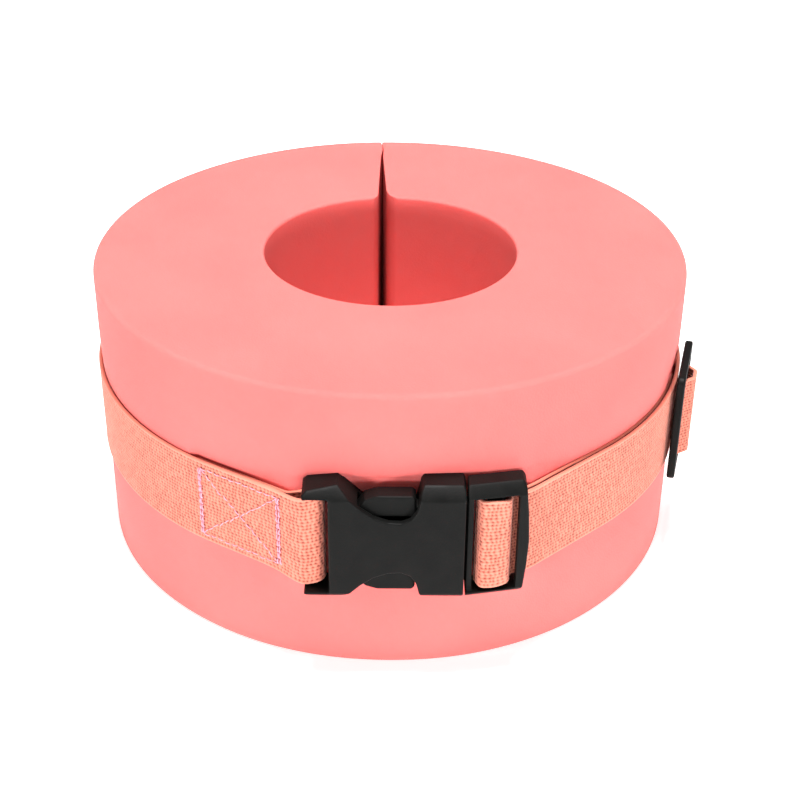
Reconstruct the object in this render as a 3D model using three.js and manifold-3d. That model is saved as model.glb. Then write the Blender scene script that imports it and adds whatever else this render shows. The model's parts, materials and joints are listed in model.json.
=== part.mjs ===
// Aquatic foam cuff: a thick foam ring, cut through at the back, held shut by a webbing strap with a
// side-release buckle at the front and a tri-glide slider at the right. Millimetres, +Z up, front at -Y.
import * as THREE from "three";
import { mergeVertices } from "three/addons/utils/BufferGeometryUtils.js";
import Module from "manifold-3d";

const wasm = await Module();
wasm.setup();

// Foam ring
const RING_RADIUS = 97;
const RING_HEIGHT = 95;
const HOLE_RADIUS = 41.7;
const RIM_ROUND = 1.5; // rounding of the outer edges
const BORE_ROUND = 0.8; // rounding of the hole's edges
const SLIT_OUTER_GAP = 0.4; // the slit at the outer face
const SLIT_BORE_GAP = 3; // the slit at the hole
const SLIT_X = -3.6;
const RING_SEGMENTS = 96;

// Webbing
const WEB_WIDTH = 28.5; // as woven, sold as 30
const WEB_THICK = 1.4;
const BAND_RADIUS = 97.3; // middle of the outer layer
const TAIL_RADIUS = 95.5; // middle of the inner layer
const STRAP_Z = 48.3; // height of the strap's middle line
const GROOVE_RADIUS = 96.2; // foam pressed in under one layer
const DEEP_GROOVE_RADIUS = 93.6; // foam pressed in under two layers and a bar tack
const DEEP_GROOVE_START = -136; // degrees round from +X
const DEEP_GROOVE_END = 50;
const GROOVE_MARGIN = 0.6;
const ARC_STEP = 3; // degrees between the points of a curved strap
const GAP = 0.3; // between pieces that lie on each other

// Where the strap is hinged to swing open
const SWING_HINGE_X = 53.4;

// Buckle: x along it from BUCKLE_X, t outwards from its inner face, half widths about STRAP_Z
const BUCKLE_X = 0;
const BUCKLE_HALF_WIDTH = 19.6;
const BUCKLE_Y = -93.3; // its inner face, pressed into the foam
const BUCKLE_THICK = 11;
const BUCKLE_EDGE = 0.4; // bevel
const BUCKLE_POCKET = 0.4; // clearance to the pressed foam
const SOCKET_END_X = -24.8;
const SOCKET_BODY_X = -17.4; // where the socket's body starts, beside the web slot
const SOCKET_MOUTH_X = 21.9;
const EAR_INNER = 16.4; // half the clear width between the ears and between the rails
const WEB_BAR = { x0: -24.2, x1: -20.7, t0: 2.6, t1: 5.4 };
const CAVITY = { x0: -14.5, half: 13.9, t0: 2.2, t1: 8.8 };
const COLLAR_X = 9.2; // edge of the collar that the latches catch on

// Plug
const BASE = { x0: 16.5, x1: 24.3, half: 13.2, t0: 3.1, t1: 7.9 };
const FRAME = { t0: 1.4, t1: 10.7 };
const TONGUE = { x0: -12, half: 4 };
const SHOULDER_X = 22.5;
const PLUG_END_X = 40.2;
const END_BAR_X = 37.2;
const END_BAR_T = 6.2; // inner face of the end bar, which the strap passes under
const LOOP_BAR = { x0: 28.1, x1: 33.3, t0: 6, t1: 8.6 };
const FRAME_SLOPE = 0.2; // the web frame leans in towards the ring
const PIVOT = new THREE.Vector2(40.4, -93.4); // where the strap turns against the plug, between its two layers
const PIVOT_GAP = 0.4; // from the pivot to each strap end

// Latch arms
const ARM = { root: 16.2, inner: 9.6, outer: 12.6, t0: 3.3, t1: 7.7 };
const PAD = { tip: -9.4, outer: 16.4, t0: 2.6, t1: 8.4 };

// Slider
const SLIDER_ANGLE = -14.5; // degrees round from +X
const SLIDER = { half_width: 19.2, half_length: 15, inner: 98.4, outer: 101.0 };
const SLIDER_SLOT = { half_width: 16.4, near: 1.9, far: 11.4 };

// Stitching
const STITCH_LENGTH = 30;
const STITCH_HEIGHT = 25;
const STITCH_THICK = 0.4;
const STITCH_LINE = 1.0;
const STITCH_FROM_BAR = 7.5; // from the web bar to the stitched box

const deg = Math.PI / 180;
const point = (x, y) => new THREE.Vector2(x, y);
const onCircle = (radius, angle) => point(radius * Math.cos(angle * deg), radius * Math.sin(angle * deg));

const foamPink = new THREE.MeshStandardMaterial({ color: 0xfa9a98, roughness: 0.85 });
const webPeach = new THREE.MeshStandardMaterial({ color: 0xf39a7d, roughness: 0.9 });
const threadPink = new THREE.MeshStandardMaterial({ color: 0xf5b6c4, roughness: 0.7 });
const plasticBlack = new THREE.MeshStandardMaterial({ color: 0x242424, roughness: 0.55 });

function solid(geometry) {
  const bare = geometry.index ? geometry.toNonIndexed() : geometry.clone();
  bare.deleteAttribute("normal");
  bare.deleteAttribute("uv");
  const merged = mergeVertices(bare, 1e-4);
  return new wasm.Manifold(new wasm.Mesh({
    numProp: 3,
    vertProperties: merged.attributes.position.array,
    triVerts: new Uint32Array(merged.index.array),
  }));
}

function named(name, body, material) {
  const made = body.getMesh();
  const geometry = new THREE.BufferGeometry();
  geometry.setAttribute("position", new THREE.BufferAttribute(made.vertProperties, 3));
  geometry.setIndex(new THREE.BufferAttribute(made.triVerts, 1));
  geometry.computeVertexNormals();
  const mesh = new THREE.Mesh(geometry, material);
  mesh.name = name;
  return mesh;
}

// A plate of the buckle: its outline lies in X and height above the strap's middle line.
function plate(outline, t0, t1, bevel = 0) {
  const geometry = new THREE.ExtrudeGeometry(new THREE.Shape(outline), {
    depth: t1 - t0 - 2 * bevel,
    bevelEnabled: bevel > 0,
    bevelSize: bevel,
    bevelThickness: bevel,
    bevelOffset: -bevel,
    bevelSegments: 2,
    curveSegments: 8,
  });
  geometry.rotateX(90 * deg);
  geometry.translate(BUCKLE_X, BUCKLE_Y - t0 - bevel, STRAP_Z);
  return solid(geometry);
}

// A block of the buckle, or cut from it, centred on the strap's middle line.
function block(x0, x1, t0, t1, half) {
  const geometry = new THREE.BoxGeometry(x1 - x0, t1 - t0, 2 * half);
  geometry.translate(BUCKLE_X + (x0 + x1) / 2, BUCKLE_Y - (t0 + t1) / 2, STRAP_Z);
  return solid(geometry);
}

// A strip of webbing that follows a line seen from above.
function ribbon(line, width = WEB_WIDTH, thick = WEB_THICK) {
  const left = [];
  const right = [];
  line.forEach((p, i) => {
    const before = line[Math.max(i - 1, 0)];
    const after = line[Math.min(i + 1, line.length - 1)];
    const along = after.clone().sub(before).normalize();
    const side = point(-along.y, along.x).multiplyScalar(thick / 2);
    left.push(p.clone().add(side));
    right.push(p.clone().sub(side));
  });
  const shape = new THREE.Shape([...left, ...right.reverse()]);
  const geometry = new THREE.ExtrudeGeometry(shape, { depth: width, bevelEnabled: false });
  geometry.translate(0, 0, STRAP_Z - width / 2);
  return solid(geometry);
}

// Points on a circle about the ring's axis, from one angle to another.
function arc(radius, from, to) {
  const steps = Math.max(1, Math.ceil(Math.abs(to - from) / ARC_STEP));
  return Array.from({ length: steps + 1 }, (_, i) => onCircle(radius, from + ((to - from) * i) / steps));
}

// The angle where a straight strap from a point outside the ring first touches a circle about its axis.
function tangentAngle(p, radius, side) {
  return Math.atan2(p.y, p.x) / deg + (side * Math.acos(radius / p.length())) / deg;
}

// A smooth open curve through points, for the strap's short bends.
function smooth(points, count) {
  return new THREE.SplineCurve(points).getPoints(count);
}

function ringProfile() {
  const outer = new THREE.Shape();
  outer.moveTo(HOLE_RADIUS + BORE_ROUND, 0);
  outer.lineTo(RING_RADIUS - RIM_ROUND, 0);
  outer.absarc(RING_RADIUS - RIM_ROUND, RIM_ROUND, RIM_ROUND, -90 * deg, 0, false);
  outer.lineTo(RING_RADIUS, RING_HEIGHT - RIM_ROUND);
  outer.absarc(RING_RADIUS - RIM_ROUND, RING_HEIGHT - RIM_ROUND, RIM_ROUND, 0, 90 * deg, false);
  outer.lineTo(HOLE_RADIUS + BORE_ROUND, RING_HEIGHT);
  outer.absarc(HOLE_RADIUS + BORE_ROUND, RING_HEIGHT - BORE_ROUND, BORE_ROUND, 90 * deg, 180 * deg, false);
  outer.lineTo(HOLE_RADIUS, BORE_ROUND);
  outer.absarc(HOLE_RADIUS + BORE_ROUND, BORE_ROUND, BORE_ROUND, 180 * deg, 270 * deg, false);
  return outer.getPoints(4);
}

function revolved(profile, start = 0, sweep = 360) {
  const full = sweep === 360;
  const segments = Math.ceil((RING_SEGMENTS * sweep) / 360);
  const shape = new THREE.Shape(profile);
  const outline = shape.getPoints();
  const geometry = new THREE.LatheGeometry([...outline, outline[0]], segments, 0, sweep * deg);
  geometry.rotateX(90 * deg);
  if (full) return solid(geometry);
  // A part turn is closed by cutting the full turn with a wedge.
  const fan = [point(0, 0), ...arc(2 * RING_RADIUS, start, start + sweep)];
  const wedge = new THREE.ExtrudeGeometry(new THREE.Shape(fan), { depth: 2 * RING_HEIGHT, bevelEnabled: false });
  wedge.translate(0, 0, -RING_HEIGHT / 2);
  return revolved(profile).intersect(solid(wedge));
}

function groove(radius) {
  const low = STRAP_Z - WEB_WIDTH / 2 - GROOVE_MARGIN;
  const high = STRAP_Z + WEB_WIDTH / 2 + GROOVE_MARGIN;
  const far = RING_RADIUS + 10;
  return [point(radius, low), point(far, low), point(far, high), point(radius, high)];
}

function foamRing() {
  const slit = new THREE.Shape([
    point(SLIT_X - SLIT_BORE_GAP / 2, HOLE_RADIUS - 10),
    point(SLIT_X + SLIT_BORE_GAP / 2, HOLE_RADIUS - 10),
    point(SLIT_X + SLIT_OUTER_GAP / 2, RING_RADIUS + 10),
    point(SLIT_X - SLIT_OUTER_GAP / 2, RING_RADIUS + 10),
  ]);
  const cut = new THREE.ExtrudeGeometry(slit, { depth: 2 * RING_HEIGHT, bevelEnabled: false });
  cut.translate(0, 0, -RING_HEIGHT / 2);
  const deep = revolved(groove(DEEP_GROOVE_RADIUS), DEEP_GROOVE_START, DEEP_GROOVE_END - DEEP_GROOVE_START);
  const pocket = block(SOCKET_END_X, PLUG_END_X, -BUCKLE_POCKET, BUCKLE_THICK, BUCKLE_HALF_WIDTH + BUCKLE_POCKET);
  const ring = revolved(ringProfile()).subtract(solid(cut)).subtract(pocket);
  return ring.subtract(revolved(groove(GROOVE_RADIUS))).subtract(deep);
}

const swingHinge = point(SWING_HINGE_X, Math.sqrt(BAND_RADIUS ** 2 - SWING_HINGE_X ** 2));
const swingAngle = Math.atan2(swingHinge.y, swingHinge.x) / deg;

// Fold of the strap round the socket's bar, seen from above, from the outer layer to the inner one.
const barMid = BUCKLE_Y - (WEB_BAR.t0 + WEB_BAR.t1) / 2;
const foldReach = (WEB_BAR.t1 - WEB_BAR.t0) / 2 + GAP + WEB_THICK / 2;
const foldX = BUCKLE_X + WEB_BAR.x1 - 0.6;
const foldOuter = point(BUCKLE_X + WEB_BAR.x0 - 0.8, barMid - foldReach);
const foldInner = point(BUCKLE_X + WEB_BAR.x0, barMid + foldReach);
const leftTangent = tangentAngle(foldOuter, BAND_RADIUS, -1);
const leftNormal = onCircle(1, leftTangent);
const leftAlong = point(-leftNormal.y, leftNormal.x);

// A point of the stitched stretch: its distance from the ring's axis and its place along the strap.
function onStraight(radius, along) {
  return leftNormal.clone().multiplyScalar(radius).add(leftAlong.clone().multiplyScalar(along));
}

const straightLength = Math.sqrt(foldOuter.lengthSq() - BAND_RADIUS ** 2);
const stitchEnd = straightLength - STITCH_FROM_BAR;
const stitchStart = stitchEnd - STITCH_LENGTH;

function strapMain() {
  const turn = [];
  for (let a = -80; a <= 80; a += 20)
    turn.push(point(foldX + foldReach * Math.cos(a * deg), barMid + foldReach * Math.sin(a * deg)));
  const line = [
    ...arc(BAND_RADIUS, swingAngle - 360 + 0.3, leftTangent),
    foldOuter,
    ...turn,
    foldInner,
    onStraight(TAIL_RADIUS, stitchEnd + 1),
    onStraight(TAIL_RADIUS, stitchStart - 2),
  ];
  return ribbon(line);
}

function boxStitch() {
  const half = STITCH_LENGTH / 2;
  const edge = half - STITCH_LINE;
  const frame = new THREE.Shape([point(-half, -half), point(half, -half), point(half, half), point(-half, half)]);
  const slant = STITCH_LINE * 1.2;
  const triangle = (turns) => {
    const corners = [point(slant - edge, edge), point(edge - slant, edge), point(0, slant)];
    return new THREE.Path(corners.map((c) => c.rotateAround(point(0, 0), (turns * Math.PI) / 2)));
  };
  frame.holes = [0, 1, 2, 3].map(triangle);
  const geometry = new THREE.ExtrudeGeometry(frame, { depth: STITCH_THICK, bevelEnabled: false });
  geometry.scale(1, STITCH_HEIGHT / STITCH_LENGTH, 1);
  const middle = onStraight(BAND_RADIUS + WEB_THICK / 2 + GAP, (stitchStart + stitchEnd) / 2);
  const basis = new THREE.Matrix4().makeBasis(
    new THREE.Vector3(leftAlong.x, leftAlong.y, 0),
    new THREE.Vector3(0, 0, 1),
    new THREE.Vector3(leftNormal.x, leftNormal.y, 0),
  );
  if (basis.determinant() < 0) throw new Error("the stitching is mirrored");
  geometry.applyMatrix4(basis);
  geometry.translate(middle.x, middle.y, STRAP_Z);
  return solid(geometry);
}

// Half of the socket's outline above its middle line, from the ear's inner corner to the mouth.
const SOCKET_SIDE = [
  [SOCKET_END_X, EAR_INNER], [SOCKET_END_X, 17.4], [-23.6, 18.4], [-14.6, BUCKLE_HALF_WIDTH], [-12.2, 17.4],
  [-8.2, 13.4], [-4.3, 10.5], [-0.3, 9], [3.5, 8.7], [6.1, 9.8], [7.9, 12.4], [8.8, 16], [COLLAR_X, 18.3],
  [10, BUCKLE_HALF_WIDTH], [21.3, BUCKLE_HALF_WIDTH], [SOCKET_MOUTH_X, 18.4],
];

function buckleSocket() {
  const upper = SOCKET_SIDE.map(([x, w]) => point(x, w));
  const lower = SOCKET_SIDE.map(([x, w]) => point(x, -w)).reverse();
  const throat = [point(SOCKET_BODY_X, -EAR_INNER), point(SOCKET_BODY_X, EAR_INNER)];
  const shell = plate([...upper, ...lower, ...throat], 0, BUCKLE_THICK, BUCKLE_EDGE);
  const cavity = block(CAVITY.x0, SOCKET_MOUTH_X + 5, CAVITY.t0, CAVITY.t1, CAVITY.half);
  const bar = block(WEB_BAR.x0, WEB_BAR.x1, WEB_BAR.t0, WEB_BAR.t1, EAR_INNER + 1);
  return shell.subtract(cavity).add(bar);
}

function bucklePlug() {
  const w = BUCKLE_HALF_WIDTH;
  const outline = [
    point(SHOULDER_X, -w), point(38.4, -w), point(39.4, -18), point(PLUG_END_X, -9), point(PLUG_END_X + 0.5, 0),
    point(PLUG_END_X, 9), point(39.4, 18), point(38.4, w), point(SHOULDER_X, w),
  ];
  const frame = plate(outline, FRAME.t0, FRAME.t1, BUCKLE_EDGE);
  const slot = block(BASE.x1, END_BAR_X, -1, BUCKLE_THICK + 1, EAR_INNER);
  const under = block(END_BAR_X - 1, PLUG_END_X + 5, -1, END_BAR_T, EAR_INNER);
  const low = block(SHOULDER_X - 1, BASE.x1 + 1, BASE.t1 + 1, BUCKLE_THICK + 1, EAR_INNER);
  const base = block(BASE.x0, BASE.x1, BASE.t0, BASE.t1, BASE.half);
  const tongue = block(TONGUE.x0, BASE.x0 + 1, BASE.t0, BASE.t1, TONGUE.half);
  const bar = block(LOOP_BAR.x0, LOOP_BAR.x1, LOOP_BAR.t0, LOOP_BAR.t1, EAR_INNER + 1);
  return lean(frame.subtract(slot).subtract(under).subtract(low).add(bar)).add(base).add(tongue);
}

// How far the plug's web frame has leant in at a place along the buckle.
function leant(x) {
  return FRAME_SLOPE * Math.max(0, x - SHOULDER_X);
}

function lean(body) {
  return body.warp((vertex) => {
    vertex[1] += leant(vertex[0] - BUCKLE_X);
  });
}

// The strap's straight run from the plug to the ring: both layers keep one direction.
const runAngle = tangentAngle(PIVOT, (BAND_RADIUS + TAIL_RADIUS) / 2, 1);
const runNormal = onCircle(1, runAngle);
const runAlong = point(-runNormal.y, runNormal.x);

function onRun(layer, along) {
  const side = ((BAND_RADIUS - TAIL_RADIUS) / 2) * layer;
  return PIVOT.clone().add(runNormal.clone().multiplyScalar(side)).add(runAlong.clone().multiplyScalar(along));
}

// The strap's way round the plug's bar, under the end bar, over the loop bar and back: x and t of its middle,
// before the frame leans.
const WEB_LOOP = [
  [39.3, 5], [37.5, 5.15], [35.9, 5.5], [35.05, 6.6], [34.8, 8.2], [34.1, 9.3], [32.4, 9.75], [30.7, 9.9],
  [28.9, 9.75], [27.3, 9.35], [26.5, 8.3], [26.3, 7.2], [26.6, 6], [27.5, 5.1], [29, 4.7], [31.9, 4.1],
  [34.9, 3.6], [37.4, 3.35], [38.3, 3.3],
];

function plugWebLoop() {
  const way = WEB_LOOP.map(([x, t]) => point(BUCKLE_X + x, BUCKLE_Y - t + leant(x)));
  return ribbon(smooth([onRun(1, -PIVOT_GAP), ...way], 60));
}

function strapLead() {
  return ribbon([onRun(1, PIVOT_GAP), ...arc(BAND_RADIUS, runAngle, swingAngle - 0.3)]);
}

function strapTail() {
  return ribbon([onRun(-1, PIVOT_GAP), ...arc(TAIL_RADIUS, runAngle, SLIDER_ANGLE - 1)]);
}

// One latch arm: its root, a slim beam and the wide thumb pad with its barb behind the collar's edge.
function latchArm(up) {
  const beam = [[ARM.root, ARM.inner], [ARM.root, ARM.outer], [4, ARM.outer], [4, ARM.inner]];
  const pad = [
    [7.7, ARM.inner], [7.7, 15.5], [6.8, PAD.outer], [-3.4, PAD.outer], [-7, 15.2], [PAD.tip, 11.6],
    [PAD.tip, 10.4], [-8, ARM.inner],
  ];
  const outline = (corners) => corners.map(([x, w]) => point(x, up * w));
  const facing = (corners) => (up > 0 ? outline(corners).reverse() : outline(corners));
  return plate(facing(beam), ARM.t0, ARM.t1).add(plate(facing(pad), PAD.t0, PAD.t1, 0.5));
}

// The slider's own axes: x along the strap, y up, z away from the ring's axis.
function atSlider(geometry) {
  const out = onCircle(1, SLIDER_ANGLE);
  geometry.applyMatrix4(new THREE.Matrix4().makeBasis(
    new THREE.Vector3(-out.y, out.x, 0),
    new THREE.Vector3(0, 0, 1),
    new THREE.Vector3(out.x, out.y, 0),
  ));
  geometry.translate(0, 0, STRAP_Z);
  return solid(geometry);
}

function sliderFrame() {
  const s = SLIDER;
  const round = 3;
  const outline = new THREE.Shape();
  outline.absarc(s.half_length - round, s.half_width - round, round, 0, 90 * deg);
  outline.absarc(round - s.half_length, s.half_width - round, round, 90 * deg, 180 * deg);
  outline.absarc(round - s.half_length, round - s.half_width, round, 180 * deg, 270 * deg);
  outline.absarc(s.half_length - round, round - s.half_width, round, 270 * deg, 360 * deg);
  const bevel = 0.5;
  const geometry = new THREE.ExtrudeGeometry(outline, {
    depth: s.outer - s.inner - 2 * bevel,
    bevelSize: bevel,
    bevelThickness: bevel,
    bevelOffset: -bevel,
    bevelSegments: 2,
    curveSegments: 4,
  });
  geometry.translate(0, 0, s.inner + bevel);
  const slot = (side) => {
    const { half_width, near, far } = SLIDER_SLOT;
    const box = new THREE.BoxGeometry(far - near, 2 * half_width, 10);
    box.translate((side * (near + far)) / 2, 0, s.inner);
    return atSlider(box);
  };
  return atSlider(geometry).subtract(slot(-1)).subtract(slot(1));
}

function sliderWebLoop() {
  const low = BAND_RADIUS + WEB_THICK / 2 + GAP + WEB_THICK / 2;
  const high = SLIDER.outer + GAP + WEB_THICK / 2;
  const half = smooth([point(10.2, low), point(7.2, low + 0.1), point(4.6, (low + high) / 2),
    point(2.4, high - 0.15), point(0, high)], 16);
  const line = [...half, ...half.slice(0, -1).reverse().map((p) => point(-p.x, p.y))];
  const out = onCircle(1, SLIDER_ANGLE);
  const along = point(-out.y, out.x);
  return ribbon(line.map((p) => along.clone().multiplyScalar(p.x).add(out.clone().multiplyScalar(p.y))));
}

function tailStitch() {
  const radius = TAIL_RADIUS - WEB_THICK / 2 - GAP - STITCH_THICK / 2;
  return ribbon(arc(radius, SLIDER_ANGLE - 6, SLIDER_ANGLE - 3), STITCH_HEIGHT, STITCH_THICK);
}

const cuff = new THREE.Group();
cuff.add(
  named("foam_ring", foamRing(), foamPink),
  named("strap_main", strapMain(), webPeach),
  named("box_stitch", boxStitch(), threadPink),
  named("buckle_socket", buckleSocket(), plasticBlack),
  named("strap_lead", strapLead(), webPeach),
  named("strap_tail", strapTail(), webPeach),
  named("buckle_plug", bucklePlug(), plasticBlack),
  named("plug_web_loop", plugWebLoop(), webPeach),
  named("latch_arm_upper", latchArm(1), plasticBlack),
  named("latch_arm_lower", latchArm(-1), plasticBlack),
  named("slider_frame", sliderFrame(), plasticBlack),
  named("slider_web_loop", sliderWebLoop(), webPeach),
  named("tail_stitch", tailStitch(), threadPink),
);

// The origin is under the middle of the whole object's box, on the surface that it stands on.
const bounds = new THREE.Box3().setFromObject(cuff);
const middle = bounds.getCenter(new THREE.Vector3());
cuff.position.set(-middle.x, -middle.y, -bounds.min.z);

export default cuff;
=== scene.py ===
"""The looks of the aquatic foam cuff: foam ring, woven strap, side-release buckle and slider."""
import json
import math

import bpy
import numpy as np
from mathutils import Matrix, Vector

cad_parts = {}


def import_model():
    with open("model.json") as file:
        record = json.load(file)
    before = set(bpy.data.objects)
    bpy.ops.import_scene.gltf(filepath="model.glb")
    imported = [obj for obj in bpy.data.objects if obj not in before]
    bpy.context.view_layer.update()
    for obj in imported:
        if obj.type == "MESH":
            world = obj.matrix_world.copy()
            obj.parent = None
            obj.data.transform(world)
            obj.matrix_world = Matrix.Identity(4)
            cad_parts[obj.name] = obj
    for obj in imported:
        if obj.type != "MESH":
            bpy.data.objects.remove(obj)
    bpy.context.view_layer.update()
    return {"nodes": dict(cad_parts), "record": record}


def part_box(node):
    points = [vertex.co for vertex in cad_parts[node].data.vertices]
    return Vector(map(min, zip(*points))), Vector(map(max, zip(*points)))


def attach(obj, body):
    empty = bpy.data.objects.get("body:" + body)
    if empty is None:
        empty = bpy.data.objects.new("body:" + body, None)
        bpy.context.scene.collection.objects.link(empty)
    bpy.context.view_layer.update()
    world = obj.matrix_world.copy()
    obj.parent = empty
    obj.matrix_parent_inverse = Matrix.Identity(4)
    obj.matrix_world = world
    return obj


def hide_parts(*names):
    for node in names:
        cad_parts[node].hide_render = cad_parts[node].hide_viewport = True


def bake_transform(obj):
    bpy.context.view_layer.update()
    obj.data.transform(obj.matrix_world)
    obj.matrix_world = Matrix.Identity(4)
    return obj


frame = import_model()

MM = 0.001
RANDOM = np.random.default_rng(7)

# Places and sizes from the frame, in millimetres from the foot of the ring's axis.
FOAM_LOW, FOAM_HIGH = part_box("foam_ring")
AXIS = Vector(((FOAM_LOW.x + FOAM_HIGH.x) / 2, (FOAM_LOW.y + FOAM_HIGH.y) / 2, FOAM_LOW.z))
RADIUS = (FOAM_HIGH.x - FOAM_LOW.x) / 2 / MM
HEIGHT = (FOAM_HIGH.z - FOAM_LOW.z) / MM


def span(node):
    """A CAD node's box in millimetres from the ring's axis."""
    low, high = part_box(node)
    return (low - AXIS) / MM, (high - AXIS) / MM


SOCKET_LOW, SOCKET_HIGH = span("buckle_socket")
PLUG_HIGH = span("buckle_plug")[1]
STRAP_LOW, STRAP_HIGH = span("strap_main")
SLIDER_LOW, SLIDER_HIGH = span("slider_frame")
STRAP_Z = (STRAP_LOW.z + STRAP_HIGH.z) / 2
WEB_WIDTH = STRAP_HIGH.z - STRAP_LOW.z
WEB_THICK = 1.4
BAND_RADIUS = -STRAP_LOW.x - WEB_THICK / 2
PLY_PITCH = 1.8  # from the strap's outer layer to its inner one
TAIL_RADIUS = BAND_RADIUS - PLY_PITCH
HOLE_RADIUS = 41.7
BUCKLE_Y = SOCKET_HIGH.y
BUCKLE_THICK = SOCKET_HIGH.y - SOCKET_LOW.y
BUCKLE_HALF = (SOCKET_HIGH.z - SOCKET_LOW.z) / 2
SOCKET_REACH = 24.8  # from the socket's web end to the buckle's middle
BUCKLE_X = SOCKET_LOW.x + SOCKET_REACH
SLIDER_MIDDLE = (SLIDER_LOW + SLIDER_HIGH) / 2
SLIDER_ANGLE = math.degrees(math.atan2(SLIDER_MIDDLE.y, SLIDER_MIDDLE.x))
SLIDER_HALF_THICK = 1.3
SLIDER_OUTER = math.hypot(SLIDER_MIDDLE.x, SLIDER_MIDDLE.y) + SLIDER_HALF_THICK
SLIDER_HUMP = 1.5  # how far the webbing stands off the slider's bar

JOINTS = {joint["name"]: joint for joint in frame["record"]["behaviour"]["joints"]}


def joint_place(name):
    """Where a joint's axis stands, seen from above."""
    place = (Vector(JOINTS[name]["pos_m"]) - AXIS) / MM
    return np.array([place.x, place.y])


HINGE = joint_place("strap_release")
PIVOT = joint_place("plug_pivot")

# The slit at the back of the ring
SLIT_X = -3.6
SLIT_SHUT = 0.04  # half its gap where it's shut
SLIT_SHUT_DEPTH = 4  # how far in from the outside it stays shut
SLIT_NOTCH_DEPTH = 3.0  # how far its outer corners are rounded off
SLIT_NOTCH = 1.3
SLIT_OPENS = {1: 2.3, -1: 1.0}  # how far each face has drawn away from the slit's line at the hole
SLIT_FLARE = {1: 8.0, -1: 4.0}  # how far the hole's corners are rounded open, right and left of the slit
SLIT_EDGE = 0.35  # how the slit's long edges are rounded
FOAM_RIM = 1.5
FOAM_BORE_RIM = 0.9
FOAM_ROWS = 118
FOAM_COLUMNS = 240

# How far the plug's web frame leans in towards the ring, from its shoulder on
FRAME_SLOPE = 0.2
SHOULDER_X = 22.5

# Weave
ROWS = 26
PICK = 1.3
WEAVE_DEPTH = 0.42
SELVEDGE = 0.9
ROW_SAMPLES = 4
LINE_STEP = 0.26


def at(x, y, z):
    """A point given in millimetres from the foot of the ring's axis."""
    return AXIS + Vector((x, y, z)) * MM


def smoothstep(low, high, x):
    """0 up to low, 1 from high on, and eased between."""
    t = np.clip((x - low) / (high - low), 0, 1)
    return t * t * (3 - 2 * t)


def on_circle(radius, angle):
    """The point at a radius and an angle in degrees, seen from above."""
    return np.array([radius * math.cos(math.radians(angle)), radius * math.sin(math.radians(angle))])


def tangent_angle(point, radius, side):
    """Where a straight line from a point outside a circle touches it, in degrees."""
    reach = float(np.hypot(*point))
    return math.degrees(math.atan2(point[1], point[0]) + side * math.acos(radius / reach))


# ---------------------------------------------------------------- mesh helpers


def new_object(name, verts, faces, material):
    """A smooth mesh object from points in millimetres."""
    mesh = bpy.data.meshes.new(name)
    placed = np.asarray(verts, float) * MM + np.array(AXIS)
    mesh.from_pydata(placed.tolist(), [], [tuple(int(i) for i in f) for f in faces])
    mesh.validate()
    mesh.polygons.foreach_set("use_smooth", [True] * len(mesh.polygons))
    mesh.update()
    made = bpy.data.objects.new(name, mesh)
    bpy.context.scene.collection.objects.link(made)
    mesh.materials.append(material)
    return made


def grid_faces(rows, columns):
    """Quads over rows of points, each row closed into a ring."""
    faces = []
    for i in range(rows - 1):
        for j in range(columns):
            a = i * columns + j
            b = i * columns + (j + 1) % columns
            faces.append((a, b, b + columns, a + columns))
    return faces


def set_attribute(obj, name, values):
    attribute = obj.data.attributes.new(name, "FLOAT", "POINT")
    attribute.data.foreach_set("value", np.asarray(values, np.float32))


# ---------------------------------------------------------------- materials


def material(name, base, roughness):
    """A new material, its node tree and its shader."""
    made = bpy.data.materials.new(name)
    made.use_nodes = True
    shader = made.node_tree.nodes["Principled BSDF"]
    shader.inputs["Base Color"].default_value = (*base, 1)
    shader.inputs["Roughness"].default_value = roughness
    return made, made.node_tree, shader


def node(tree, kind, **values):
    """A new node, with input sockets or settings given by name."""
    made = tree.nodes.new(kind)
    for key, value in values.items():
        socket = made.inputs.get(key)
        if socket is not None:
            socket.default_value = value
        else:
            setattr(made, key, value)
    return made


def noise(tree, scale, detail):
    coordinates = node(tree, "ShaderNodeTexCoord")
    texture = node(tree, "ShaderNodeTexNoise", Scale=scale, Detail=detail, Roughness=0.55)
    tree.links.new(coordinates.outputs["Object"], texture.inputs["Vector"])
    return texture


def ramp(tree, factor, stops):
    made = node(tree, "ShaderNodeValToRGB")
    elements = made.color_ramp.elements
    elements[0].position, elements[0].color = stops[0][0], (*stops[0][1], 1)
    elements[1].position, elements[1].color = stops[-1][0], (*stops[-1][1], 1)
    for place, colour in stops[1:-1]:
        elements.new(place).color = (*colour, 1)
    tree.links.new(factor, made.inputs["Fac"])
    return made


def bump(tree, shader, height, strength, distance, after=None):
    made = node(tree, "ShaderNodeBump", Strength=strength, Distance=distance)
    tree.links.new(height, made.inputs["Height"])
    if after is not None:
        tree.links.new(after.outputs["Normal"], made.inputs["Normal"])
    tree.links.new(made.outputs["Normal"], shader.inputs["Normal"])
    return made


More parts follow.
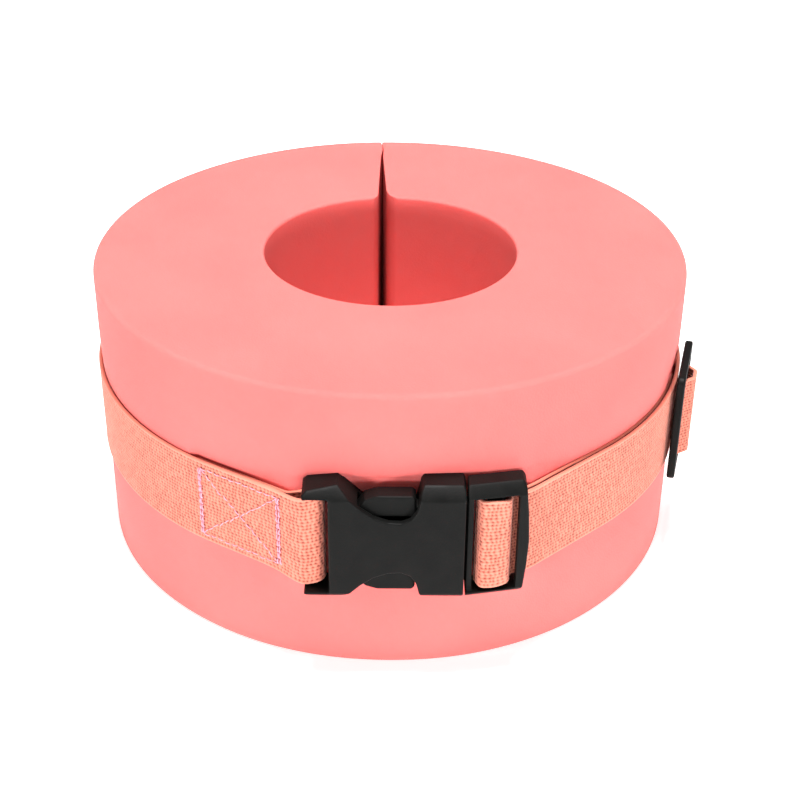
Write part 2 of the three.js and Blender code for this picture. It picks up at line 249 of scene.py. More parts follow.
def foam_material():
    made, tree, shader = material("foam_eva", (0.9, 0.3, 0.28), 0.82)
    shader.inputs["Subsurface Weight"].default_value = 0.35
    shader.inputs["Subsurface Radius"].default_value = (1.0, 0.28, 0.22)
    shader.inputs["Subsurface Scale"].default_value = 0.004
    shader.inputs["Specular IOR Level"].default_value = 0.25
    cloud = noise(tree, 22.0, 3.0)
    tint = ramp(tree, cloud.outputs["Fac"], [(0.3, (0.80, 0.150, 0.140)), (0.7, (0.84, 0.168, 0.156))])
    tree.links.new(tint.outputs["Color"], shader.inputs["Base Color"])
    cells = node(tree, "ShaderNodeTexVoronoi", Scale=1500.0)
    coordinates = node(tree, "ShaderNodeTexCoord")
    tree.links.new(coordinates.outputs["Object"], cells.inputs["Vector"])
    fine = bump(tree, shader, cells.outputs["Distance"], 0.16, 0.0003)
    skin = noise(tree, 260.0, 5.0)
    bump(tree, shader, skin.outputs["Fac"], 0.14, 0.0006, after=fine)
    return made


def webbing_material():
    made, tree, shader = material("webbing_woven", (0.9, 0.36, 0.2), 0.78)
    shader.inputs["Sheen Weight"].default_value = 0.25
    shader.inputs["Sheen Roughness"].default_value = 0.5
    shader.inputs["Specular IOR Level"].default_value = 0.3
    # The colour follows the weave's depth (the dip attribute). It is the threads' own orange where the
    # weave stands high, darkened to near black in its pits and in the gaps between rows. That darkening is
    # painted shade.
    dip = node(tree, "ShaderNodeAttribute", attribute_name="dip")
    thread_and_pit_shade = ramp(tree, dip.outputs["Fac"], [
        (0.0, (0.80, 0.28, 0.20)),
        (0.4, (0.69, 0.20, 0.13)),
        (0.75, (0.40, 0.08, 0.05)),
        (1.0, (0.20, 0.03, 0.02)),
    ])
    patch = noise(tree, 90.0, 4.0)
    worn = ramp(tree, patch.outputs["Fac"], [(0.35, (0.94, 0.94, 0.94)), (0.65, (1.0, 1.0, 1.0))])
    mixed = node(tree, "ShaderNodeMix", data_type="RGBA", blend_type="MULTIPLY")
    mixed.inputs[0].default_value = 1.0
    tree.links.new(thread_and_pit_shade.outputs["Color"], mixed.inputs[6])
    tree.links.new(worn.outputs["Color"], mixed.inputs[7])
    tree.links.new(mixed.outputs[2], shader.inputs["Base Color"])
    fibre = noise(tree, 2600.0, 3.0)
    bump(tree, shader, fibre.outputs["Fac"], 0.35, 0.0002)
    return made


def thread_material():
    made, tree, shader = material("sewing_thread", (0.9, 0.42, 0.55), 0.6)
    shader.inputs["Sheen Weight"].default_value = 0.3
    twist = noise(tree, 3200.0, 2.0)
    tint = ramp(tree, twist.outputs["Fac"], [(0.35, (0.66, 0.26, 0.34)), (0.65, (0.78, 0.36, 0.46))])
    tree.links.new(tint.outputs["Color"], shader.inputs["Base Color"])
    bump(tree, shader, twist.outputs["Fac"], 0.4, 0.0002)
    return made


def plastic_material():
    made, tree, shader = material("buckle_acetal", (0.03, 0.03, 0.031), 0.45)
    shader.inputs["Specular IOR Level"].default_value = 0.08
    cloud = noise(tree, 120.0, 4.0)
    dark, light = (0.0040, 0.0042, 0.0040), (0.0062, 0.0064, 0.0060)
    tint = ramp(tree, cloud.outputs["Fac"], [(0.3, dark), (0.7, light)])
    tree.links.new(tint.outputs["Color"], shader.inputs["Base Color"])
    gloss = ramp(tree, cloud.outputs["Fac"], [(0.3, (0.42, 0.42, 0.42)), (0.7, (0.54, 0.54, 0.54))])
    tree.links.new(gloss.outputs["Color"], shader.inputs["Roughness"])
    grain = noise(tree, 1900.0, 2.0)
    bump(tree, shader, grain.outputs["Fac"], 0.18, 0.0002)
    return made


FOAM = foam_material()
WEBBING = webbing_material()
THREAD = thread_material()
PLASTIC = plastic_material()


# ---------------------------------------------------------------- foam ring


def slit_side(rho, side):
    """How far one face of the slit lies from the slit's line: shut outside, open and flared at the hole."""
    shut = RADIUS - SLIT_SHUT_DEPTH
    share = np.clip((shut - rho) / (shut - HOLE_RADIUS), 0, 1)
    half = SLIT_SHUT + (SLIT_OPENS[side] - SLIT_SHUT) * share
    flare = SLIT_FLARE[side]
    inside = np.clip((HOLE_RADIUS + flare - rho) / flare, 0, 1)
    outside = np.clip((rho - RADIUS + SLIT_NOTCH_DEPTH) / SLIT_NOTCH_DEPTH, 0, 1)
    corner = 0.5 * flare * (1 - np.sqrt(1 - inside**2 * 0.99))
    notch = SLIT_NOTCH * (1 - np.sqrt(1 - outside**2 * 0.97))
    return half + corner + notch


def slit_line(rho):
    """The slit isn't quite straight, so nothing is seen through it."""
    right = 0.45 * smoothstep(RADIUS - 16, RADIUS - 8, rho)
    left = 0.6 * smoothstep(RADIUS - 8, RADIUS, rho)
    return SLIT_X + right - left


def strap_inner(theta):
    """Distance from the ring's axis to the inner face of whatever lies on the foam, and its half height."""
    turn = (theta + 270) % 360 - 270  # -270 to 90, so that the front is unbroken
    single = BAND_RADIUS - WEB_THICK / 2
    double = TAIL_RADIUS - WEB_THICK / 2
    under_tail = (turn > RUN_ANGLE) & (turn < SLIDER_ANGLE + 2)
    inner = np.where(under_tail, double, single)
    run_right = double / np.maximum(np.cos(np.radians(turn - RUN_ANGLE)), 0.5)
    run_left = double / np.maximum(np.cos(np.radians(turn - LEFT_ANGLE)), 0.5)
    inner = np.where((turn <= RUN_ANGLE) & (turn > -90), run_right, inner)
    inner = np.where((turn >= LEFT_ANGLE) & (turn <= -90), run_left, inner)
    stitched = (turn < LEFT_ANGLE) & (turn > LEFT_ANGLE - 4)
    inner = np.where(stitched, double, inner)
    buckle = -BUCKLE_Y / np.maximum(-np.sin(np.radians(turn)), 0.3)
    x = buckle * np.cos(np.radians(turn))
    at_buckle = (turn < 0) & (x > SOCKET_LOW.x - 0.5) & (x < PLUG_HIGH.x + 0.5)
    inner = np.where(at_buckle, np.minimum(inner, buckle), inner)
    half = WEB_WIDTH / 2 + (BUCKLE_HALF - 1.2 - WEB_WIDTH / 2) * at_buckle
    return inner, half


def smooth_strap_inner():
    """The same, eased along the ring, as lookup tables for every quarter of a degree."""
    theta = np.arange(-180, 180, 0.25)
    inner, half = strap_inner(theta)
    low = inner.copy()
    for _ in range(14):
        low = 0.5 * low + 0.25 * (np.roll(low, 1) + np.roll(low, -1))
        half = 0.5 * half + 0.25 * (np.roll(half, 1) + np.roll(half, -1))
    return theta, np.minimum(low, inner), half


def strap_pinch(theta, z):
    """How far the strap presses the foam's side in, at an angle in degrees round from +X and a height."""
    places, inner, half = PINCH_TABLE
    inner = np.interp(theta, places, inner, period=360)
    half = np.interp(theta, places, half, period=360)
    swell = 2.6 * np.exp(-(((theta + 109) / 7.5) ** 2)) + 3.6 * np.exp(-(((theta + 61) / 7.5) ** 2))
    pressed = RADIUS - inner + 0.12
    floor_depth = np.maximum(pressed, -swell)
    beside_buckle = np.clip((half - WEB_WIDTH / 2) / (BUCKLE_HALF - WEB_WIDTH / 2), 0, 1)
    rolled = (0.5 + 0.22 * beside_buckle) * floor_depth + 0.12 * (1 - beside_buckle)
    lip = np.where(floor_depth > 0, rolled, floor_depth)
    away = np.abs(z - STRAP_Z) - half
    reach = 5.0 + 1.8 * np.abs(floor_depth)
    outside = lip * np.exp(-((np.clip(away, 0, None) / reach) ** 1.3))
    return np.where(away < 0, lip + (floor_depth - lip) * smoothstep(0.2, -0.5, away), outside)


def foam_profile():
    """The sides of the ring's section, as (rho, z) lists: outer wall, top, hole wall and bottom."""
    rim, bore = FOAM_RIM, FOAM_BORE_RIM

    def corner(cx, cz, radius, start, steps):
        angles = np.radians(np.linspace(start, start + 90, steps))
        return [(cx + radius * math.cos(a), cz + radius * math.sin(a)) for a in angles]

    wall = np.linspace(rim, HEIGHT - rim, FOAM_ROWS)
    outer = corner(RADIUS - rim, rim, rim, -90, 7)[3:] + [(RADIUS, z) for z in wall[1:-1]]
    outer += corner(RADIUS - rim, HEIGHT - rim, rim, 0, 7)[:4]
    flat = np.concatenate([
        np.linspace(RADIUS - rim, RADIUS - 5, 5)[:-1],
        np.linspace(RADIUS - 5, HOLE_RADIUS + 8, 18)[:-1],
        np.linspace(HOLE_RADIUS + 8, HOLE_RADIUS + bore, 14),
    ])
    top = corner(RADIUS - rim, HEIGHT - rim, rim, 0, 7)[3:] + [(rho, HEIGHT) for rho in flat[1:-1]]
    top += corner(HOLE_RADIUS + bore, HEIGHT - bore, bore, 90, 7)[:4]
    rows = len(outer)
    inner = corner(HOLE_RADIUS + bore, HEIGHT - bore, bore, 90, 7)[3:]
    depth = np.linspace(HEIGHT - bore, bore, rows - 8 + 2)
    inner += [(HOLE_RADIUS, z) for z in depth[1:-1]]
    inner += corner(HOLE_RADIUS + bore, bore, bore, 180, 7)[:4]
    bottom = [(rho, HEIGHT - z) for rho, z in reversed(top)]
    return np.array(outer), np.array(top), np.array(inner), np.array(bottom)


def coons(outer, top, inner, bottom):
    """Points that fill the section: rows up the wall, columns from outside inwards."""
    left, right = outer, inner[::-1]
    up = top
    down = bottom[::-1]
    rows, columns = len(left), len(up)
    u = np.linspace(0, 1, columns)[None, :, None]
    v = np.linspace(0, 1, rows)[:, None, None]
    ruled_u = (1 - u) * left[:, None] + u * right[:, None]
    ruled_v = (1 - v) * down[None] + v * up[None]
    foot = (1 - u) * (1 - v) * left[0] + u * (1 - v) * right[0]
    corners = foot + (1 - u) * v * left[-1] + u * v * right[-1]
    return ruled_u + ruled_v - corners


def foam_place(rho, z, theta):
    """Points of the section turned to an angle, pressed in by the strap and cut a little unevenly."""
    outside = smoothstep(RADIUS - 12, RADIUS - 1, rho)
    wave = 0.12 * np.sin(np.radians(theta) * 3 + z * 0.05) + 0.08 * np.sin(np.radians(theta) * 7 + 1.0)
    pressed = rho - outside * (strap_pinch(theta, z) + np.abs(wave) * 0.6)
    angle = np.radians(theta)
    x = pressed * np.cos(angle)
    y = pressed * np.sin(angle)
    return np.stack([x, y, z], -1)


def foam_ring():
    """The foam: its skin turned from one face of the slit to the other, with a cap on each face."""
    outer, top, inner, bottom = foam_profile()
    loop = np.concatenate([outer[:-1], top[:-1], inner[:-1], bottom[:-1]])
    middle = np.array([(RADIUS + HOLE_RADIUS) / 2, HEIGHT / 2])
    turns = np.linspace(0, math.pi / 2, 4)
    near = [(SLIT_EDGE * (1 - math.cos(t)), SLIT_EDGE * (1 - math.sin(t))) for t in turns]
    columns = [(0, along, inset) for along, inset in near]
    columns += [(k / FOAM_COLUMNS, 0, 0) for k in range(1, FOAM_COLUMNS)]
    columns += [(1, along, inset) for along, inset in reversed(near)]

    def slit_angle(rho, share, along):
        centre = 90 - np.degrees(np.arcsin(slit_line(rho) / rho))
        start = centre + np.degrees((slit_side(rho, -1) + along) / rho)
        end = centre + 360 - np.degrees((slit_side(rho, 1) + along) / rho)
        return start + (end - start) * share

    verts = []
    for share, along, inset in columns:
        toward = middle - loop
        toward[:, 0] = np.sign(toward[:, 0]) * (toward[:, 0] < -20)
        toward[:, 1] = np.sign(toward[:, 1]) * (np.abs(toward[:, 1]) > 40)
        section = loop + toward * inset
        theta = slit_angle(section[:, 0], share, along)
        theta = (theta + 180) % 360 - 180
        verts.append(foam_place(section[:, 0], section[:, 1], theta))
    verts = np.concatenate(verts)
    faces = grid_faces(len(columns), len(loop))
    patch = coons(outer, top, inner, bottom)
    rows, across = patch.shape[:2]
    boundary = [(i, 0) for i in range(rows)] + [(rows - 1, j) for j in range(1, across)]
    boundary += [(i, across - 1) for i in range(rows - 2, -1, -1)]
    boundary += [(0, j) for j in range(across - 2, 0, -1)]
    caps = []
    for share, first in ((0, 0), (1, (len(columns) - 1) * len(loop))):
        index = {cell: first + k for k, cell in enumerate(boundary)}
        inside = [(i, j) for i in range(1, rows - 1) for j in range(1, across - 1)]
        base = len(verts) + sum(len(c) for c in caps)
        fill = np.array([patch[i, j] for i, j in inside])
        theta = slit_angle(fill[:, 0], share, 0.0)
        theta = (theta + 180) % 360 - 180
        caps.append(foam_place(fill[:, 0], fill[:, 1], theta))
        for k, cell in enumerate(inside):
            index[cell] = base + k
        for i in range(rows - 1):
            for j in range(across - 1):
                quad = (index[(i, j)], index[(i, j + 1)], index[(i + 1, j + 1)], index[(i + 1, j)])
                faces.append(quad if share == 0 else quad[::-1])
    verts = np.concatenate([verts, *caps])
    made = new_object("foam_float", verts, faces, FOAM)
    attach(made, "cuff")
    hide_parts("foam_ring")
    return made


# ---------------------------------------------------------------- webbing


def resample(line, step):
    """Points at even steps along a line, and how far along it each one is."""
    line = np.asarray(line, float)
    lengths = np.hypot(*np.diff(line, axis=0).T)
    places = np.concatenate([[0], np.cumsum(lengths)])
    count = max(2, int(round(places[-1] / step)) + 1)
    wanted = np.linspace(0, places[-1], count)
    spaced = [np.interp(wanted, places, line[:, side]) for side in (0, 1)]
    return np.stack(spaced, -1), wanted


def rounded(line, passes):
    """The line with its corners eased, ends kept."""
    line = line.copy()
    for _ in range(passes):
        line[1:-1] = 0.5 * line[1:-1] + 0.25 * (line[:-2] + line[2:])
    return line


def weave(along, across):
    """Height of the weave: a close grid of threads, a little uneven, with pits where gaps cross."""
    rows = across / (WEB_WIDTH / ROWS)
    picks = along / PICK + 0.2 * np.sin(along * 0.83 + across * 1.1)
    picks = picks + 0.15 * np.sin(across * 2.9 - along * 0.31)
    row = np.floor(rows)
    scatter = np.abs(np.sin(row * 12.9898 + np.floor(picks) * 78.233) * 437.5853) % 1.0
    between_rows = 1 - np.sin(np.pi * (rows - row)) ** 0.7
    between_picks = 1 - np.abs(np.sin(np.pi * picks)) ** 0.7
    pits = between_rows * between_picks * (0.3 + 0.6 * scatter)
    selvedge = np.clip(np.minimum(across, WEB_WIDTH - across) / SELVEDGE, 0, 1)
    low = 0.32 * between_rows + 0.36 * between_picks + pits + 0.2 * scatter
    return np.clip(1 - low * selvedge, 0, 1)


def web_strip(name, line, raised=None, widened=None):
    """A strip of woven webbing along a line seen from above; its outer face is on the line's right.

    raised and widened tell how far the strip has moved up and spread at each distance along it."""
    line, along = resample(line, LINE_STEP)
    rise = np.zeros(len(along)) if raised is None else raised(along)
    spread = np.ones(len(along)) if widened is None else 1 + widened(along) / WEB_WIDTH
    tangent = np.gradient(line, axis=0)
    tangent /= np.hypot(*tangent.T)[:, None]
    out = np.stack([tangent[:, 1], -tangent[:, 0]], -1)
    half = WEB_WIDTH / 2
    thick = WEB_THICK / 2
    face = np.linspace(0, WEB_WIDTH, ROWS * ROW_SAMPLES + 1)
    edge = np.radians([54, 18, -18, -54])
    section = [(v - half, 1, v) for v in face]
    section += [(half, math.sin(a), None) for a in edge]
    section += [(v - half, -1, v) for v in face[::-2]]
    section += [(-half, -math.sin(a), None) for a in edge]
    bulge = 0.35
    points = []
    # shades: how deep the weave lies at each point, kept as the dip attribute and painted as shade by the
    # webbing material; the rounded long edges get a fixed, middling amount of painted shade
    shades = []
    for height, side, v in section:
        if v is None:
            reach = bulge * math.sqrt(max(0.0, 1 - side * side)) - bulge
            offset = side * (thick - WEAVE_DEPTH * 0.5)
            z = STRAP_Z + math.copysign(half + reach, height) * spread + rise
            rib = 0.05 * np.cos(2 * np.pi * along / (PICK / 2))
            points.append(np.column_stack([line + out * offset, z + rib * np.sign(height)]))
            shades.append(np.full(len(line), 0.35))
            continue
        high = weave(along, np.full(len(line), min(max(v, 1e-6), WEB_WIDTH - 1e-6)))
        offset = side * (thick - WEAVE_DEPTH * (1 - high))
        inset = np.clip(abs(height) - (half - bulge), 0, None)
        z = STRAP_Z + (height - math.copysign(inset, height)) * spread + rise
        points.append(np.column_stack([line + out * offset[:, None], z]))
        shades.append(1 - high)
    grid = np.stack(points, 1)
    shade = np.stack(shades, 1)
    rows, columns = grid.shape[:2]
    faces = grid_faces(rows, columns)
    verts = grid.reshape(-1, 3)
    values = list(shade.reshape(-1))
    for row in (0, rows - 1):
        ring = [row * columns + k for k in range(columns)]
        faces.append(tuple(ring if row == 0 else ring[::-1]))
    made = new_object(name, verts, [f[::-1] for f in faces], WEBBING)
    # dip carries the weave's depth, which the webbing material turns into painted shade
    set_attribute(made, "dip", values)
    return made


def arc_line(radius, start, end):
    """Points along an arc, half a millimetre apart."""
    count = max(2, int(abs(math.radians(end - start)) * radius / 0.5))
    return [on_circle(radius, a) for a in np.linspace(start, end, count)]


# The strap's fold round the socket's bar, as the CAD has it.
BAR_X0, BAR_X1 = SOCKET_LOW.x + 0.6, SOCKET_LOW.x + 4.1
BAR_MID = BUCKLE_Y - 4.0
BAR_HALF_THICK = 1.4
BAR_CLEARANCE = 0.3
FOLD_REACH = BAR_HALF_THICK + BAR_CLEARANCE + WEB_THICK / 2
FOLD_X = BAR_X1 - 0.6
FOLD_OUTER = np.array([BAR_X0 - 0.8, BAR_MID - FOLD_REACH])
FOLD_INNER = np.array([BAR_X0, BAR_MID + FOLD_REACH])
LEFT_ANGLE = tangent_angle(FOLD_OUTER, BAND_RADIUS, -1)
LEFT_NORMAL = on_circle(1, LEFT_ANGLE)
LEFT_ALONG = np.array([-LEFT_NORMAL[1], LEFT_NORMAL[0]])
STITCH_SIDES = 6
STITCH_LENGTH = 30.0
STITCH_HEIGHT = 24.5
STITCH_FROM_BAR = 7.5
STITCH_END = math.sqrt(float(FOLD_OUTER @ FOLD_OUTER) - BAND_RADIUS**2) - STITCH_FROM_BAR
STITCH_START = STITCH_END - STITCH_LENGTH

HINGE_ANGLE = math.degrees(math.atan2(HINGE[1], HINGE[0]))
SEAM_ANGLE = HINGE_ANGLE + 19  # where the fixed strap meets the swinging one
RUN_ANGLE = tangent_angle(PIVOT, (BAND_RADIUS + TAIL_RADIUS) / 2, 1)
RUN_NORMAL = on_circle(1, RUN_ANGLE)
RUN_ALONG = np.array([-RUN_NORMAL[1], RUN_NORMAL[0]])
RUN_SEAM = 20.0  # from the pivot to where the plug's webbing meets the strap


def on_straight(radius, along):
    """A point on the straight run between the ring and the socket's bar."""
    return LEFT_NORMAL * radius + LEFT_ALONG * along


def on_run(layer, along):
    """A point on the straight run from the plug: outer layer 1, between 0, inner layer -1."""
    return PIVOT + RUN_NORMAL * (BAND_RADIUS - TAIL_RADIUS) / 2 * layer + RUN_ALONG * along


def spline(points):
    """A smooth curve through points (Catmull-Rom)."""
    p = [2 * points[0] - points[1], *points, 2 * points[-1] - points[-2]]
    made = []
    for a, b, c, d in zip(p, p[1:], p[2:], p[3:]):
        for t in np.linspace(0, 1, 14, endpoint=False):
            made.append(0.5 * (2 * b + (c - a) * t + (2 * a - 5 * b + 4 * c - d) * t**2
                               + (3 * b - a - 3 * c + d) * t**3))
    return [*made, points[-1]]


def webbing_fixed():
    """The strap that stays: folded round the socket's bar, then round the ring to the back."""
    turn = [np.array([FOLD_X + FOLD_REACH * math.cos(a), BAR_MID + FOLD_REACH * math.sin(a)])
            for a in np.radians(np.linspace(80, -80, 13))]
    inner = [on_straight(TAIL_RADIUS, STITCH_START - 2)]
    inner += [on_straight(TAIL_RADIUS, STITCH_END + 1), FOLD_INNER]
    line = [*inner, *turn, FOLD_OUTER, *arc_line(BAND_RADIUS, LEFT_ANGLE, SEAM_ANGLE - 360)]
    line = rounded(resample(line, 0.4)[0], 5)
    fold = np.hypot(*np.diff(np.array([*inner, *turn]), axis=0).T).sum()

    def skew(along):
        sewn = -0.9 * (1 - smoothstep(fold - 16, fold - 8, along))
        inner_up = 0.9 * np.exp(-(((along - fold + 4) / 4) ** 2))
        outer_down = 1.1 * np.exp(-(((along - fold - 6) / 6) ** 2))
        return sewn + inner_up - outer_down

    def spread(along):
        return 2.0 * np.exp(-(((along - fold) / 9) ** 2))

    made = web_strip("webbing_fixed", line, raised=skew, widened=spread)
    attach(made, "cuff")
    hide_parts("strap_main")
    return made


def webbing_swing():
    """The strap's free end, which bends where it leaves the ring."""
    line = [*arc_line(BAND_RADIUS, SEAM_ANGLE, RUN_ANGLE), on_run(1, RUN_SEAM)]
    made = web_strip("webbing_swing", line)
    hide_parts("strap_lead")
    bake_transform(made)
    return made


# The strap's way round the plug's bar: distance along the buckle and out from its inner face.
WEB_LOOP = [
    (39.3, 5.0), (37.5, 5.15), (35.9, 5.5), (35.05, 6.6), (34.8, 8.2), (34.1, 9.3), (32.4, 9.75),
    (30.7, 9.9), (28.9, 9.75), (27.3, 9.35), (26.5, 8.3), (26.0, 7.0), (25.5, 5.7), (25.5, 4.5),
    (26.6, 3.8), (29.0, 3.8), (31.9, 3.8), (34.9, 3.6), (37.4, 3.35),
]


def leant(x):
    """How far the plug's web frame has leant in at a place along the buckle."""
    return FRAME_SLOPE * np.maximum(0, x - SHOULDER_X)


def webbing_plug():
    """The webbing from the strap, round the plug's bar and back; it spreads a little on the bar."""
    way = [np.array([BUCKLE_X + x, BUCKLE_Y - t + leant(x)]) for x, t in WEB_LOOP]
    distances = (RUN_SEAM, RUN_SEAM / 2, 2)
    there = [on_run(1, along) for along in distances]
    back = [on_run(-1, along) for along in reversed(distances)]
    line = [*there, *way, *back]
    half_way = np.hypot(*np.diff(np.array(line[:12]), axis=0).T).sum()

    def spread(along):
        return 2.2 * np.exp(-(((along - half_way) / 7) ** 2))

    made = web_strip("webbing_plug", spline(line), widened=spread)
    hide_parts("plug_web_loop")
    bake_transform(made)
    return made


def webbing_tail():
    """The strap's inner layer, from the plug's webbing back to the slider."""
    line = [on_run(-1, RUN_SEAM), *arc_line(TAIL_RADIUS, RUN_ANGLE, SLIDER_ANGLE - 1)]
    made = web_strip("webbing_tail", line[::-1])
    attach(made, "strap_end")
    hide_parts("strap_tail")
    return made


def webbing_slider():
    """The short hump of webbing that goes over the slider's centre bar."""
    out = on_circle(1, SLIDER_ANGLE)
    along = np.array([-out[1], out[0]])
    low = BAND_RADIUS + WEB_THICK + 0.3
    high = SLIDER_OUTER + SLIDER_HUMP + WEB_THICK / 2
    half = [(10.2, low), (7.2, low + 0.1), (4.6, (low + high) / 2), (2.4, high - 0.15), (0, high)]
    points = half + [(-x, r) for x, r in half[-2::-1]]
    made = web_strip("webbing_slider", spline([along * x + out * r for x, r in points]))
    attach(made, "slider")
    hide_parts("slider_web_loop")
    return made


# ---------------------------------------------------------------- stitching


def stitch(path, normal, radius):
    """One stitch: a short thread that rises out of the webbing, runs along it and dips back in."""
    verts = []
    for k, p in enumerate(path):
        before, after = path[max(k - 1, 0)], path[min(k + 1, len(path) - 1)]
        tangent = (after - before) / np.linalg.norm(after - before)
        side = np.cross(normal, tangent)
        side /= np.linalg.norm(side)
        up = np.cross(tangent, side)
        for s in range(STITCH_SIDES):
            a = 2 * math.pi * s / STITCH_SIDES
            verts.append(p + radius * (math.cos(a) * side + math.sin(a) * up))
    faces = grid_faces(len(path), STITCH_SIDES)
    faces.append(tuple(range(STITCH_SIDES - 1, -1, -1)))
    faces.append(tuple((len(path) - 1) * STITCH_SIDES + s for s in range(STITCH_SIDES)))
    return verts, faces


def stitch_line(a, b, normal, length, stray, sink, radius=0.24):
    """A row of stitches from a to b, as vertices and faces: none quite in line with the next."""
    run = np.linalg.norm(b - a)
    count = max(1, int(round(run / length)))
    across = np.cross(normal, (b - a) / run)
    verts = []
    faces = []
    for k in range(count):
        first = a + (b - a) * (k + 0.05) / count + across * RANDOM.normal(0, stray)
        last = a + (b - a) * (k + 0.95) / count + across * RANDOM.normal(0, stray)
        shares = np.linspace(0, 1, 7)
        rise = -sink + (0.46 + RANDOM.normal(0, 0.04)) * np.sin(np.pi * shares) ** 0.6
        path = [first + (last - first) * t + normal * r for t, r in zip(shares, rise)]
        v, f = stitch(path, normal, radius)
        faces += [tuple(i + len(verts) for i in face) for face in f]
        verts += v
    return verts, faces


def stitched(name, rows, body, source):
    """One object from rows of stitches."""
    verts = []
    faces = []
    for v, f in rows:
        faces += [tuple(k + len(verts) for k in face) for face in f]
        verts += v
    made = new_object(name, verts, faces, THREAD)
    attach(made, body)
    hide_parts(source)
    return made


def box_stitch():
    """The box and cross that close the fold round the socket's bar."""
    along = np.array([*LEFT_ALONG, 0.0])
    normal = np.array([*LEFT_NORMAL, 0.0])
    up = np.array([0.0, 0.0, 1.0])
    middle = np.array([*on_straight(BAND_RADIUS + WEB_THICK / 2, (STITCH_START + STITCH_END) / 2), STRAP_Z])

    def place(a, b):
        return middle + along * (STITCH_LENGTH / 2 - 0.6) * a + up * (STITCH_HEIGHT / 2 - 0.5) * b

    rows = []
    # The two ends are sewn over twice more, so they stand out.
    for side in (-1, 1):
        for shift in (-0.025, 0.02):
            foot, head = place(side + shift, -1), place(side + shift, 1)
            rows.append(stitch_line(foot, head, normal, 2.1, 0.14, 0.2))
    for a, b, c, d in ((-1, 1, 1, 1), (-1, -1, 1, -1), (-1, -1, 1, 1), (-1, 1, 1, -1)):
        rows.append(stitch_line(place(a, b), place(c, d), normal, 2.6, 0.2, 0.4, 0.17))
    return stitched("cross_stitching", rows, "cuff", "box_stitch")


def tail_tack():
    """The bar tack that closes the tail's fold behind the slider."""
    low, high = span("tail_stitch")
    out = np.array([*on_circle(1, SLIDER_ANGLE - 4.5), 0.0])
    along = np.array([-out[1], out[0], 0.0])
    radius = TAIL_RADIUS - WEB_THICK / 2 - 0.3
    rows = []
    for shift in (-1.6, -0.8, 0.0, 0.8, 1.6):
        base = out * radius + along * shift
        foot = base + np.array([0, 0, low.z + 1])
        head = base + np.array([0, 0, high.z - 1])
        rows.append(stitch_line(foot, head, -out, 2.2, 0.05, 0.3))
    return stitched("tail_bar_tack", rows, "slider", "tail_stitch")


# ---------------------------------------------------------------- moulded plastic


def moulded(name, source, body, voxel=0.3, shape=None):
    """A moulded piece: the CAD solid with its edges rounded, and then warped by shape."""
    origin = frame["nodes"][source]
    made = bpy.data.objects.new(name, origin.data.copy())
    bpy.context.scene.collection.objects.link(made)
    made.data.materials.clear()
    remesh = made.modifiers.new("remesh", "REMESH")
    remesh.mode = "VOXEL"
    remesh.voxel_size = voxel * MM
    remesh.adaptivity = 0.0
    soften = made.modifiers.new("soften", "SMOOTH")
    soften.factor = 0.5
    soften.iterations = 6
    graph = bpy.context.evaluated_depsgraph_get()
    mesh = bpy.data.meshes.new_from_object(made.evaluated_get(graph))
    made.modifiers.clear()
    made.data = mesh
    mesh.materials.clear()
    mesh.materials.append(PLASTIC)
    if shape is not None:
        points = np.empty(len(mesh.vertices) * 3)
        mesh.vertices.foreach_get("co", points)
        local = shape((points.reshape(-1, 3) - np.array(AXIS)) / MM)
        mesh.vertices.foreach_set("co", (local * MM + np.array(AXIS)).ravel())
    mesh.polygons.foreach_set("use_smooth", [True] * len(mesh.polygons))
    mesh.update()
    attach(made, body)
    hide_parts(source)
    return made


def buckle_crown(points):
    """The buckle's front is softly domed and falls away in a broad chamfer to its long edges."""
    points = points.copy()
    lean = leant(points[:, 0] - BUCKLE_X) * (points[:, 0] > SOCKET_HIGH.x)
    out = BUCKLE_Y - points[:, 1] + lean
    w = np.abs(points[:, 2] - STRAP_Z)
    share = np.clip((w - (BUCKLE_HALF - 3.4)) / 3.4, 0, 1)
    face = BUCKLE_THICK - 0.35 * (w / BUCKLE_HALF) ** 2 - 3.6 * share**1.25
    squeezed = 5 + (out - 5) * (face - 5) / (BUCKLE_THICK - 5)
    points[:, 1] = BUCKLE_Y - np.where(out > 5, squeezed, out) + lean
    return points


PINCH_TABLE = smooth_strap_inner()
foam_ring()
webbing_fixed()
webbing_swing()
webbing_plug()
webbing_tail()
webbing_slider()
box_stitch()
tail_tack()
moulded("socket_moulding", "buckle_socket", "cuff", shape=buckle_crown)
moulded("plug_moulding", "buckle_plug", "plug", shape=buckle_crown)
moulded("thumb_latch_upper", "latch_arm_upper", "latch_upper", voxel=0.25)
moulded("thumb_latch_lower", "latch_arm_lower", "latch_lower", voxel=0.25)
moulded("slider_moulding", "slider_frame", "slider", voxel=0.25)


# ---------------------------------------------------------------- stage, light and camera


FLOOR_HALF = 3.0
FLOOR_GLOW = 0.62  # a lit white sweep, so hardly any shadow shows on it
WORLD_LIGHT = 0.4
WORLD_SEEN = 1.05  # the plain white behind the part
LIGHT_AIM = (0, 0, 0.05)
LIGHTS = {  # place, size and power: low ones from the front, and a strong one from above
    "key": ((-0.85, -1.3, 0.10), 0.26, 14),
    "fill": ((0.95, -1.2, 0.10), 0.26, 13.5),
    "top": ((0.0, -0.1, 1.6), 0.3, 41),
}


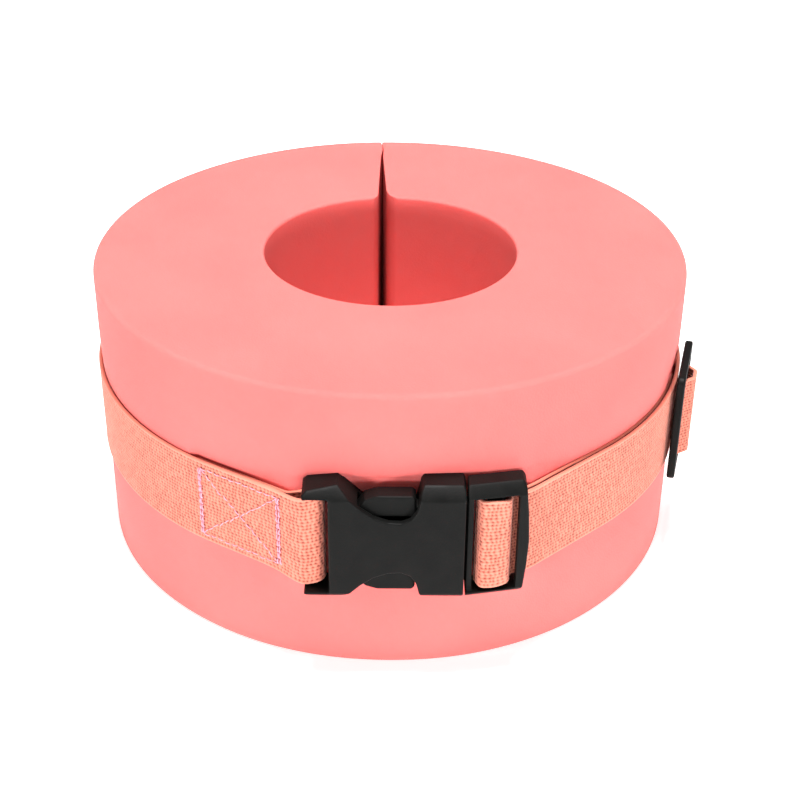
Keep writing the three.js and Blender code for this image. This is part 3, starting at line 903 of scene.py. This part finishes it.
def floor():
    corners = [(FLOOR_HALF * x, FLOOR_HALF * y, 0) for x, y in ((-1, -1), (1, -1), (1, 1), (-1, 1))]
    mesh = bpy.data.meshes.new("floor")
    mesh.from_pydata(corners, [], [(0, 1, 2, 3)])
    made = bpy.data.objects.new("floor", mesh)
    bpy.context.scene.collection.objects.link(made)
    paper, tree, shader = material("floor_paper", (0.8, 0.8, 0.8), 0.9)
    cloud = noise(tree, 1.5, 2.0)
    tint = ramp(tree, cloud.outputs["Fac"], [(0.3, (0.79, 0.79, 0.79)), (0.7, (0.81, 0.81, 0.81))])
    tree.links.new(tint.outputs["Color"], shader.inputs["Base Color"])
    shader.inputs["Emission Color"].default_value = (1, 1, 1, 1)
    shader.inputs["Emission Strength"].default_value = FLOOR_GLOW
    mesh.materials.append(paper)


def area_light(name, place, size, power):
    data = bpy.data.lights.new(name, "AREA")
    data.shape = "DISK"
    data.size = size
    data.energy = power
    made = bpy.data.objects.new(name, data)
    made.location = place
    made.rotation_euler = (Vector(LIGHT_AIM) - Vector(place)).to_track_quat("-Z", "Y").to_euler()
    bpy.context.scene.collection.objects.link(made)


def world():
    """Soft light from all round, and a brighter white where the camera sees it."""
    made = bpy.data.worlds.new("studio")
    made.use_nodes = True
    tree = made.node_tree
    background = tree.nodes["Background"]
    background.inputs["Color"].default_value = (1.0, 1.0, 1.0, 1)
    seen = node(tree, "ShaderNodeLightPath")
    level = node(tree, "ShaderNodeMapRange")
    level.inputs["To Min"].default_value = WORLD_LIGHT
    level.inputs["To Max"].default_value = WORLD_SEEN
    tree.links.new(seen.outputs["Is Camera Ray"], level.inputs["Value"])
    tree.links.new(level.outputs["Result"], background.inputs["Strength"])
    bpy.context.scene.world = made


# The camera, in ring radii from the middle of the ring's top face.
CAMERA_DISTANCE = 5.14
CAMERA_ELEVATION = 24.9
CAMERA_PITCH = 5.81
CAMERA_YAW = 0.46
CAMERA_ROLL = 0.6
CAMERA_LENS = 67.5


def camera():
    data = bpy.data.cameras.new("camera")
    data.lens = CAMERA_LENS
    data.sensor_width = 36
    data.clip_start = 0.02
    made = bpy.data.objects.new("camera", data)
    reach = CAMERA_DISTANCE * RADIUS
    rise = math.radians(CAMERA_ELEVATION)
    made.location = at(0, -reach * math.cos(rise), HEIGHT + reach * math.sin(rise))
    down = math.radians(CAMERA_ELEVATION + CAMERA_PITCH)
    yaw = Matrix.Rotation(math.radians(-CAMERA_YAW), 4, "Z")
    pitch = Matrix.Rotation(math.pi / 2 - down, 4, "X")
    roll = Matrix.Rotation(math.radians(CAMERA_ROLL), 4, "Z")
    made.rotation_euler = (yaw @ pitch @ roll).to_euler()
    bpy.context.scene.collection.objects.link(made)
    bpy.context.scene.camera = made


floor()
world()
for light, (place, size, power) in LIGHTS.items():
    area_light(light, place, size, power)
camera()
bpy.context.scene.view_settings.view_transform = "Standard"
